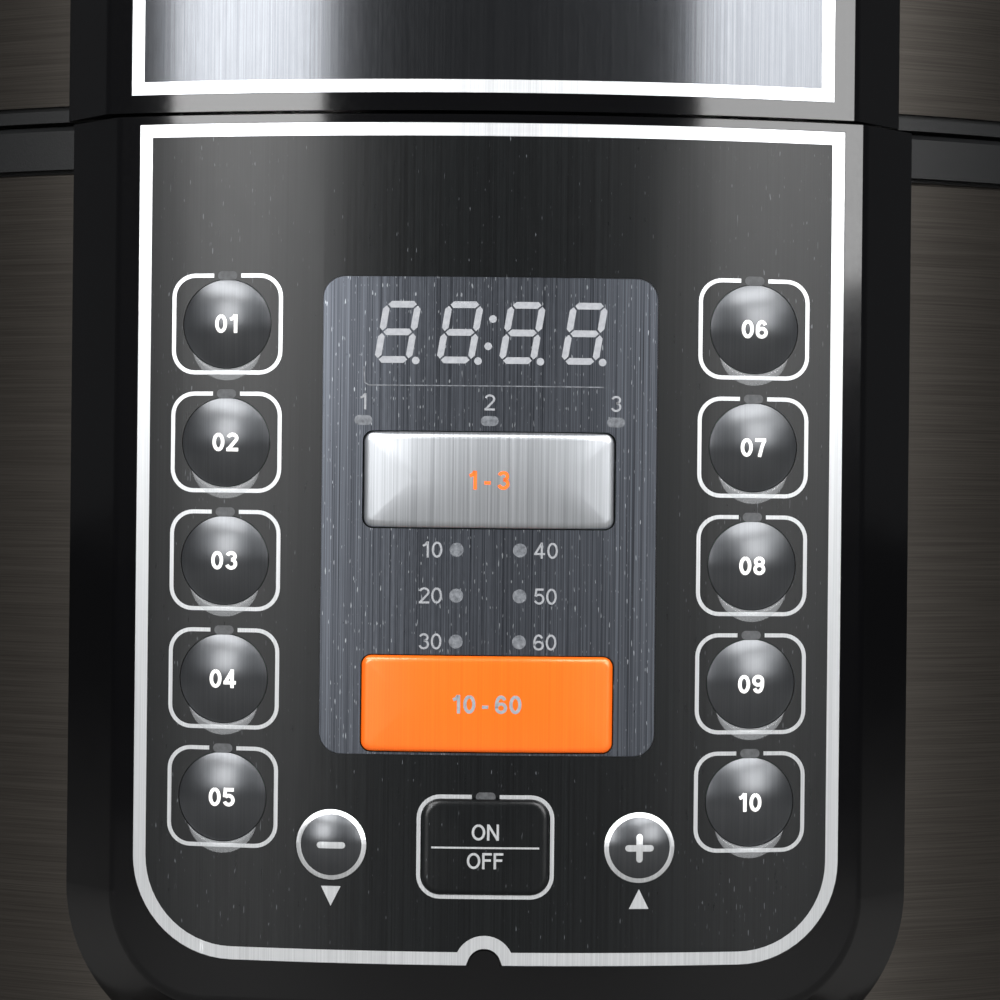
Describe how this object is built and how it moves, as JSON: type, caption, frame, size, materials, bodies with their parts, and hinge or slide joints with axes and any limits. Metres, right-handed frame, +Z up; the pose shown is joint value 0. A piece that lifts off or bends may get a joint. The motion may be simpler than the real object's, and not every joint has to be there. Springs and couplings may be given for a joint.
{
  "type": "electric pressure cooker",
  "caption": "Round countertop electric pressure cooker with a locking lid, removable inner pot, and a curved front panel with domed keys, display window and coloured bar keys.",
  "frame": {"origin": "on the table, under the middle of the cooker, on the axis of its round body", "axes": "+Z up, -Y out of the control panel, +X to the right as seen from the front"},
  "size_m": [0.332, 0.3094, 0.325],
  "materials": {
    "black_plastic": "satin black moulded plastic",
    "black_gloss_plastic": "polished black moulded plastic",
    "dark_steel": "dark brushed steel with a clear coat",
    "plated_steel": "zinc plated",
    "rubber": "matte",
    "silicone": "translucent white silicone",
    "stainless_steel": "brushed stainless steel",
    "aluminium": "cast and pressed aluminium",
    "coated_aluminium": "dark non-stick coating",
    "clear_plastic": "clear",
    "brass": "nickel plated blades",
    "switch_plastic": "moulded component cases",
    "circuit_board": "green circuit board",
    "panel_film": "brushed-effect printed film",
    "smoked_window": "smoked translucent window",
    "black_key": "black keys under clear film",
    "silver_key": "brushed silver",
    "orange_key": "orange"
  },
  "bodies": {
    "cooker_base": {"base_housing": "black_plastic", "bottom_cover": "plated_steel", "feet": "rubber", "base_screws": "plated_steel", "outer_shell": "dark_steel", "collar": "black_plastic", "left_handle": "black_plastic", "right_handle": "black_plastic", "cup_bracket": "black_plastic", "power_inlet": "black_plastic", "inlet_pins": "brass", "outer_pan": "aluminium", "heating_plate": "aluminium", "sensor_bracket": "plated_steel", "sensor_spring": "stainless_steel", "thermal_cutout": "switch_plastic", "pressure_switch": "switch_plastic", "power_board": "circuit_board", "power_parts": "switch_plastic", "control_fascia": "black_gloss_plastic", "control_overlay": "panel_film", "display_window": "smoked_window", "control_board": "circuit_board", "board_screws": "plated_steel", "display_module": "switch_plastic", "indicator_lamps": "clear_plastic", "key_switches": "switch_plastic"},
    "lid_seal": {"seal_ring": "silicone"},
    "lid": {"lid_inner": "stainless_steel", "lid_rim": "black_plastic", "lid_skirt": "dark_steel", "lid_cover": "black_gloss_plastic", "lid_handle": "black_gloss_plastic", "lid_screws": "plated_steel", "lid_badge": "black_gloss_plastic", "lid_badge_plate": "panel_film", "seal_carrier": "stainless_steel", "valve_stem": "stainless_steel", "valve_guard": "stainless_steel", "float_gasket": "silicone"},
    "steam_valve": {"steam_valve": "black_gloss_plastic"},
    "float_pin": {"float_pin": "stainless_steel"},
    "inner_pot": {"inner_pot": "coated_aluminium"},
    "sensor_cap": {"sensor_cap": "aluminium"},
    "condensation_cup": {"condensation_cup": "clear_plastic"},
    "key_left_1": {"key_left_1": "black_key"},
    "key_left_2": {"key_left_2": "black_key"},
    "key_left_3": {"key_left_3": "black_key"},
    "key_left_4": {"key_left_4": "black_key"},
    "key_left_5": {"key_left_5": "black_key"},
    "key_right_1": {"key_right_1": "black_key"},
    "key_right_2": {"key_right_2": "black_key"},
    "key_right_3": {"key_right_3": "black_key"},
    "key_right_4": {"key_right_4": "black_key"},
    "key_right_5": {"key_right_5": "black_key"},
    "key_minus": {"key_minus": "black_key"},
    "key_plus": {"key_plus": "black_key"},
    "key_cancel": {"key_cancel": "black_key"},
    "key_level": {"key_level": "silver_key"},
    "key_select": {"key_select": "orange_key"}
  },
  "joints": [
    {"name": "lid_lift", "type": "slide", "parent": "cooker_base", "child": "lid_seal", "axis": [0, 0, 1], "range_m": [0, 0.25]},
    {"name": "lid_turn", "type": "hinge", "parent": "lid_seal", "child": "lid", "pos_m": [0, 0, 0.23], "axis": [0, 0, 1], "range_deg": [0, 30]},
    {"name": "steam_valve_turn", "type": "hinge", "parent": "lid", "child": "steam_valve", "pos_m": [0, 0.08, 0.28], "axis": [0, 0, 1], "range_deg": [0, 45]},
    {"name": "float_rise", "type": "slide", "parent": "lid", "child": "float_pin", "axis": [0, 0, 1], "range_m": [0, 0.004]},
    {"name": "inner_pot_turn", "type": "hinge", "parent": "cooker_base", "child": "inner_pot", "pos_m": [0, 0, 0.0733], "axis": [0, 0, 1], "continuous": true},
    {"name": "sensor_press", "type": "slide", "parent": "cooker_base", "child": "sensor_cap", "axis": [0, 0, -1], "range_m": [0, 0.002], "stiffness_N_per_m": 1500, "deforming": ["sensor_spring"]},
    {"name": "cup_pull", "type": "slide", "parent": "cooker_base", "child": "condensation_cup", "axis": [0, 1, 0], "range_m": [0, 0.06]},
    {"name": "key_left_1_press", "type": "slide", "parent": "cooker_base", "child": "key_left_1", "axis": [0, 1, 0], "range_m": [0, 0.0006], "stiffness_N_per_m": 800},
    {"name": "key_left_2_press", "type": "slide", "parent": "cooker_base", "child": "key_left_2", "axis": [0, 1, 0], "range_m": [0, 0.0006], "stiffness_N_per_m": 800},
    {"name": "key_left_3_press", "type": "slide", "parent": "cooker_base", "child": "key_left_3", "axis": [0, 1, 0], "range_m": [0, 0.0006], "stiffness_N_per_m": 800},
    {"name": "key_left_4_press", "type": "slide", "parent": "cooker_base", "child": "key_left_4", "axis": [0, 1, 0], "range_m": [0, 0.0006], "stiffness_N_per_m": 800},
    {"name": "key_left_5_press", "type": "slide", "parent": "cooker_base", "child": "key_left_5", "axis": [0, 1, 0], "range_m": [0, 0.0006], "stiffness_N_per_m": 800},
    {"name": "key_right_1_press", "type": "slide", "parent": "cooker_base", "child": "key_right_1", "axis": [0, 1, 0], "range_m": [0, 0.0006], "stiffness_N_per_m": 800},
    {"name": "key_right_2_press", "type": "slide", "parent": "cooker_base", "child": "key_right_2", "axis": [0, 1, 0], "range_m": [0, 0.0006], "stiffness_N_per_m": 800},
    {"name": "key_right_3_press", "type": "slide", "parent": "cooker_base", "child": "key_right_3", "axis": [0, 1, 0], "range_m": [0, 0.0006], "stiffness_N_per_m": 800},
    {"name": "key_right_4_press", "type": "slide", "parent": "cooker_base", "child": "key_right_4", "axis": [0, 1, 0], "range_m": [0, 0.0006], "stiffness_N_per_m": 800},
    {"name": "key_right_5_press", "type": "slide", "parent": "cooker_base", "child": "key_right_5", "axis": [0, 1, 0], "range_m": [0, 0.0006], "stiffness_N_per_m": 800},
    {"name": "key_minus_press", "type": "slide", "parent": "cooker_base", "child": "key_minus", "axis": [0, 1, 0], "range_m": [0, 0.0006], "stiffness_N_per_m": 800},
    {"name": "key_plus_press", "type": "slide", "parent": "cooker_base", "child": "key_plus", "axis": [0, 1, 0], "range_m": [0, 0.0006], "stiffness_N_per_m": 800},
    {"name": "key_cancel_press", "type": "slide", "parent": "cooker_base", "child": "key_cancel", "axis": [0, 1, 0], "range_m": [0, 0.0006], "stiffness_N_per_m": 800},
    {"name": "key_level_press", "type": "slide", "parent": "cooker_base", "child": "key_level", "axis": [0, 1, 0], "range_m": [0, 0.0006], "stiffness_N_per_m": 800},
    {"name": "key_select_press", "type": "slide", "parent": "cooker_base", "child": "key_select", "axis": [0, 1, 0], "range_m": [0, 0.0006], "stiffness_N_per_m": 800}
  ]
}
